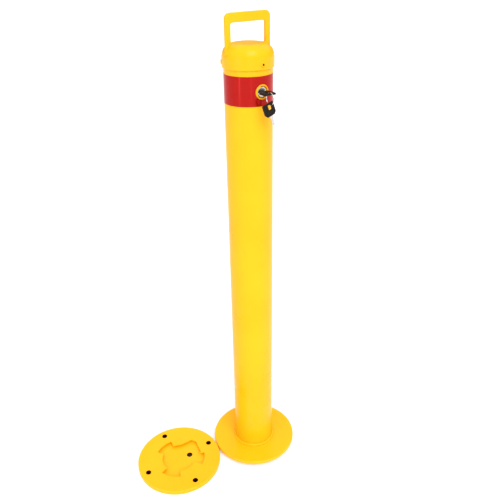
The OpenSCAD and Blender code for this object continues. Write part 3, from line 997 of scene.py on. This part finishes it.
        # Painted shade: a near-black disc under the plate, a little inside its rim.
        floor_shade_mask = within(tree, object_place(tree), centre, reach)
        colour = blend(tree, floor_shade_mask, self.floor_colour, self.floor_shade_colour)
        tree.links.new(colour, shader.inputs["Base Color"])
        shader.inputs["Roughness"].default_value = self.floor_roughness
        shader.inputs["Specular IOR Level"].default_value = self.floor_specular
        dress(floor, material)

    def build(self) -> None:
        """Builds the camera, light, world and floor."""
        bpy.context.scene.view_settings.view_transform = "Standard"
        self.camera()
        self.lights()
        self.world()
        self.floor()


@dataclass(frozen=True)
class Cap:
    """Domed cap, spun from its section, with the welds that hold the handle."""

    shoulder: float = 34.6 * MM
    corner: float = 22.0 * MM
    dome_height: float = 25.7 * MM
    lip: float = 3.4 * MM
    thickness: float = 2.5 * MM
    foot_edge: float = 0.8 * MM
    arc_steps: int = 12
    spin_steps: int = 128
    sharp_deg: float = 30.0
    leg_width: float = 11.0 * MM
    leg_corner: float = 1.5 * MM
    leg_corner_steps: int = 6
    weld_offset: float = 0.4 * MM
    weld_radius: float = 1.7 * MM
    weld_inset: float = 1.2 * MM
    weld_count: int = 72
    weld_waves: int = 18
    weld_ripple: float = 0.09
    weld_sharp_deg: float = 60.0

    @property
    def turn(self) -> float:
        """Angle at which the shoulder's arc passes into the corner's."""
        return math.asin((self.dome_height - self.corner) / (self.shoulder - self.corner))

    def inner(self, radius: float) -> float:
        """Distance from the axis to the centre of the corner's arc, in a cap of this radius."""
        return radius - self.shoulder + (self.shoulder - self.corner) * math.cos(self.turn)

    def section(self) -> list[tuple]:
        """Draws the outer half section, from foot to crown.

        Returns:
            The radius and height of each point.
        """
        low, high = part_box("top_cap")
        foot, top = low.z, high.z
        radius = (high.y - low.y) / 2
        inner = self.inner(radius)
        points = [
            (radius - self.lip, foot),
            (radius - self.foot_edge, foot),
            (radius, foot + self.foot_edge),
        ]
        for i in range(self.arc_steps + 1):
            a = self.turn * i / self.arc_steps
            points.append((
                radius - self.shoulder * (1 - math.cos(a)),
                top - self.dome_height + self.shoulder * math.sin(a),
            ))
        for i in range(1, self.arc_steps + 1):
            a = self.turn + (math.pi / 2 - self.turn) * i / self.arc_steps
            points.append((inner + self.corner * math.cos(a), top - self.corner * (1 - math.sin(a))))
        points.append((0.0, top))
        return points

    def height_at(self, reach: float) -> float:
        """Finds the height of the dome at a distance from the axis.

        Args:
            reach: The distance.

        Returns:
            The height.
        """
        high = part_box("top_cap")[1]
        radius, top = high.y, high.z
        inner = self.inner(radius)
        if reach <= inner:
            return top
        if reach <= inner + self.corner * math.cos(self.turn):
            return top - self.corner + math.sqrt(self.corner ** 2 - (reach - inner) ** 2)
        out = reach - radius + self.shoulder
        return top - self.dome_height + math.sqrt(self.shoulder ** 2 - out ** 2)

    def weld_path(self, side: int) -> list[Vector]:
        """Lays the way of a weld bead round one leg of the handle, along the dome.

        Args:
            side: 1 for the leg at +X, -1 for the leg at -X.

        Returns:
            Evenly spaced points of the way.
        """
        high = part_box("carry_handle")[1]
        corner = self.leg_corner
        half_width = self.leg_width / 2 + self.weld_offset - corner
        half_depth = high.y + self.weld_offset - corner
        middle = side * (high.x - self.leg_width / 2)
        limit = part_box("top_cap")[1].y - self.weld_inset
        points = []
        for quarter, (sx, sy) in enumerate(((1, 1), (-1, 1), (-1, -1), (1, -1))):
            for step in range(self.leg_corner_steps):
                a = math.pi / 2 * (quarter + step / self.leg_corner_steps)
                x = middle + sx * half_width + corner * math.cos(a)
                y = sy * half_depth + corner * math.sin(a)
                reach = min(math.hypot(x, y), limit)
                points.append(Vector((x, y, self.height_at(reach))))
        return evenly_spaced(points, self.weld_count)

    def build(self, finishes: Finishes) -> None:
        """Spins the cap, puts it in the CAD cap's place and welds the handle to it.

        Args:
            finishes: Finishes of all pieces.
        """
        bm = bmesh.new()
        verts = [bm.verts.new((reach, 0, height)) for reach, height in self.section()]
        for a, b in zip(verts, verts[1:]):
            bm.edges.new((a, b))
        bmesh.ops.spin(
            bm, geom=bm.verts[:] + bm.edges[:], cent=(0, 0, 0), axis=UP, angle=math.tau,
            steps=self.spin_steps, use_merge=True)
        tidy_normals(bm)
        cap = to_object(bm, "domed_cap", self.sharp_deg)
        solid = cap.modifiers.new("wall", "SOLIDIFY")
        solid.thickness = self.thickness
        solid.offset = -1
        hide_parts("top_cap")
        finish_piece(cap, Body.BOLLARD, finishes.yellow)
        radii = rippled(self.weld_radius, self.weld_count, self.weld_waves, self.weld_ripple)
        for side, name in ((-1, "handle_weld_left"), (1, "handle_weld_right")):
            bead = to_object(sweep(self.weld_path(side), radii), name, self.weld_sharp_deg)
            finish_piece(bead, Body.BOLLARD, finishes.yellow)


@dataclass(frozen=True)
class FootWeld:
    """Rippled weld bead between the tube and its flange."""

    radius: float = 2.6 * MM
    ripple: float = 0.05
    waves: int = 84
    count: int = 504
    outward: float = 2.2 * MM
    upward: float = 1.9 * MM
    fillet: float = 5.0 * MM
    sharp_deg: float = 60.0

    def build(self, finishes: Finishes) -> None:
        """Sweeps the bead round the foot of the tube.

        Args:
            finishes: Finishes of all pieces.
        """
        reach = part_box("post_tube")[1].y + self.outward
        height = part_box("base_flange")[1].z - self.fillet + self.upward
        turns = [math.tau * i / self.count for i in range(self.count)]
        path = [Vector((reach * math.cos(a), reach * math.sin(a), height)) for a in turns]
        bead = sweep(path, rippled(self.radius, self.count, self.waves, self.ripple))
        thing = to_object(bead, "foot_weld", self.sharp_deg)
        finish_piece(thing, Body.BOLLARD, finishes.yellow)


@dataclass(frozen=True)
class SplitRing:
    """Key ring wound from two turns of flattened spring wire."""

    turns: int = 2
    steps: int = 96
    start_deg: float = 20.0
    wire: float = 0.45 * MM
    wire_share: float = 1.35
    clearance_share: float = 1.6
    crossing: float = 5.0
    sharp_deg: float = 60.0

    def build(self, finishes: Finishes) -> None:
        """Winds the ring inside the CAD ring's box.

        Args:
            finishes: Finishes of all pieces.
        """
        low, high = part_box("key_ring")
        middle = (low + high) / 2
        radius = (high.z - low.z) / 2 - self.wire * self.clearance_share
        side = (high.x - low.x) / 2 - self.wire
        count = self.steps * self.turns
        path = []
        for i in range(count + 1):
            turn = math.tau * i / self.steps + math.radians(self.start_deg)
            share = min(max((i / count - 0.5) * self.crossing + 0.5, 0.0), 1.0)
            shift = side * (2 * share - 1)
            path.append(middle + Vector((shift, radius * math.cos(turn), radius * math.sin(turn))))
        radii = [self.wire * self.wire_share] * len(path)
        ring = sweep(path, radii, axis=Vector((1, 0, 0)), closed=False)
        for vert in ring.verts:
            vert.co.x = min(max(vert.co.x, low.x), high.x)
        thing = to_object(ring, "split_ring", self.sharp_deg)
        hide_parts("key_ring")
        finish_piece(thing, Body.RING, finishes.nickel)


@dataclass(frozen=True)
class KeyBow:
    """Moulded key bow: the CAD bow with round edges and a sunk panel on each face."""

    node: str
    body: Body
    rounding: float = 0.6 * MM
    rounding_segments: int = 3
    margin: float = 1.6 * MM
    slope: float = 0.3 * MM
    depth: float = 0.35 * MM
    flat_deg: float = 1.0
    bevel_deg: float = 60.0
    sharp_deg: float = 40.0

    def build(self, finishes: Finishes) -> None:
        """Sinks the panels, rounds the edges and puts the bow in the CAD bow's place.

        Args:
            finishes: Finishes of all pieces.
        """
        bm = merged_copy(self.node, self.flat_deg)
        broad = sorted(bm.faces, key=lambda face: face.calc_area())[-2:]
        for face in broad:
            inward = -face.normal.copy()
            for width in (self.margin, self.slope):
                bmesh.ops.inset_region(bm, faces=[face], thickness=width, use_even_offset=True)
            bmesh.ops.translate(bm, verts=face.verts, vec=inward * self.depth)
        bevel_sharp(bm, self.rounding, self.rounding_segments, self.bevel_deg)
        thing = to_object(bm, self.node + "_moulded", self.sharp_deg)
        even_shading(thing)
        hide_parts(self.node)
        finish_piece(thing, self.body, finishes.black)


@dataclass(frozen=True)
class SocketShadeCups:
    """Near-black hexagon cups that line the sockets of the cap's screws: painted shade that makes
    each socket read dark.
    """

    across: float = 4.1 * MM
    depth: float = 1.1 * MM
    inset: float = 0.25 * MM
    count: int = 3
    sides: int = 6
    first_deg: float = -90.0

    def build(self, finishes: Finishes) -> None:
        """Makes one cup per screw, set a little under the screw's face.

        Args:
            finishes: Finishes of all pieces.
        """
        low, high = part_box("cap_screws")
        bm = bmesh.new()
        for i in range(self.count):
            turn = math.radians(self.first_deg) + math.tau * i / self.count
            outward = Vector((math.cos(turn), math.sin(turn), 0))
            deep = outward * (-low.y - self.inset - self.depth) + UP * (low.z + high.z) / 2
            facing = outward.to_track_quat("Z", "X").to_matrix().to_4x4()
            made = bmesh.ops.create_circle(
                bm, cap_ends=True, radius=self.across / 2, segments=self.sides,
                matrix=Matrix.Translation(deep) @ facing)
            floor = made["verts"][0].link_faces[0]
            walls = bmesh.ops.extrude_edge_only(bm, edges=floor.edges[:])["geom"]
            rim = [part for part in walls if isinstance(part, bmesh.types.BMVert)]
            bmesh.ops.translate(bm, verts=rim, vec=outward * self.depth)
        bmesh.ops.recalc_face_normals(bm, faces=bm.faces)
        bmesh.ops.reverse_faces(bm, faces=bm.faces)
        # The cups carry painted shade.
        thing = to_object(bm, "cap_screw_socket_shade")
        finish_piece(thing, Body.BOLLARD, finishes.socket)


class Bollard:
    """The whole object: CAD nodes with their finishes, and the finer pieces."""

    finish_of = {
        "yellow": ("lug_hub", "base_flange", "post_tube", "lock_collar", "top_cap", "carry_handle"),
        "plate": ("ground_plate",),
        "red": ("reflective_band",),
        "zinc": ("hub_screws", "cap_screws", "lock_washer", "lock_nut", "lock_rod", "arm_pin",
                 "collar_pin", "cam_screw"),
        "nickel": ("lock_housing", "lock_plug", "key_blade", "spare_key_blade", "key_ring"),
        "dark": ("lower_guide", "upper_guide", "lock_spring", "rod_arm", "spring_collar", "lock_cam"),
        "bronze": ("lower_bush", "upper_bush"),
        "black": ("key_bow", "spare_key_bow"),
    }
    rounded = (
        ("yellow", RoundedCopy("carry_handle", Body.BOLLARD, Slot.YELLOW, 1.2 * MM, 3)),
        ("yellow", RoundedCopy("base_flange", Body.BOLLARD, Slot.YELLOW)),
        ("yellow", RoundedCopy("lug_hub", Body.BOLLARD, Slot.YELLOW, 0.4 * MM)),
        ("yellow", RoundedCopy("lock_collar", Body.BOLLARD, Slot.YELLOW, 0.5 * MM, 3)),
        ("plate", RoundedCopy("ground_plate", Body.BOLLARD, Slot.YELLOW)),
        ("nickel", RoundedCopy("lock_housing", Body.BOLLARD, Slot.STEEL, 0.3 * MM)),
        ("nickel", RoundedCopy("lock_plug", Body.PLUG, Slot.STEEL, 0.15 * MM)),
        ("nickel", RoundedCopy("key_blade", Body.PLUG, Slot.STEEL, 0.2 * MM)),
        ("nickel", RoundedCopy("spare_key_blade", Body.SPARE, Slot.STEEL, 0.2 * MM)),
        ("zinc", RoundedCopy("lock_nut", Body.BOLLARD, Slot.STEEL, 0.4 * MM)),
        ("zinc", RoundedCopy("lock_washer", Body.BOLLARD, Slot.STEEL, 0.2 * MM)),
        ("zinc", RoundedCopy("hub_screws", Body.BOLLARD, Slot.STEEL, 0.2 * MM)),
        ("dark", RoundedCopy("rod_arm", Body.ROD, Slot.DARK, 0.4 * MM)),
        ("dark", RoundedCopy("spring_collar", Body.ROD, Slot.DARK, 0.4 * MM)),
        ("yellow", RoundedCopy("cap_screws", Body.BOLLARD, Slot.YELLOW, 0.2 * MM)),
    )

    def __init__(self) -> None:
        """Builds the finishes."""
        self.finishes = Finishes()

    def dress_nodes(self) -> None:
        """Gives every CAD node its finish."""
        for finish, nodes in self.finish_of.items():
            for node in nodes:
                dress(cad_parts[node], getattr(self.finishes, finish))

    def build(self) -> None:
        """Dresses the nodes and builds the finer pieces."""
        self.dress_nodes()
        Cap().build(self.finishes)
        for finish, piece in self.rounded:
            piece.build(getattr(self.finishes, finish))
        FootWeld().build(self.finishes)
        SplitRing().build(self.finishes)
        KeyBow("key_bow", Body.PLUG).build(self.finishes)
        KeyBow("spare_key_bow", Body.SPARE).build(self.finishes)
        SocketShadeCups().build(self.finishes)


def main() -> None:
    logging.basicConfig(level=logging.INFO)
    Studio().build()
    Bollard().build()


if __name__ == "__main__":
    main()
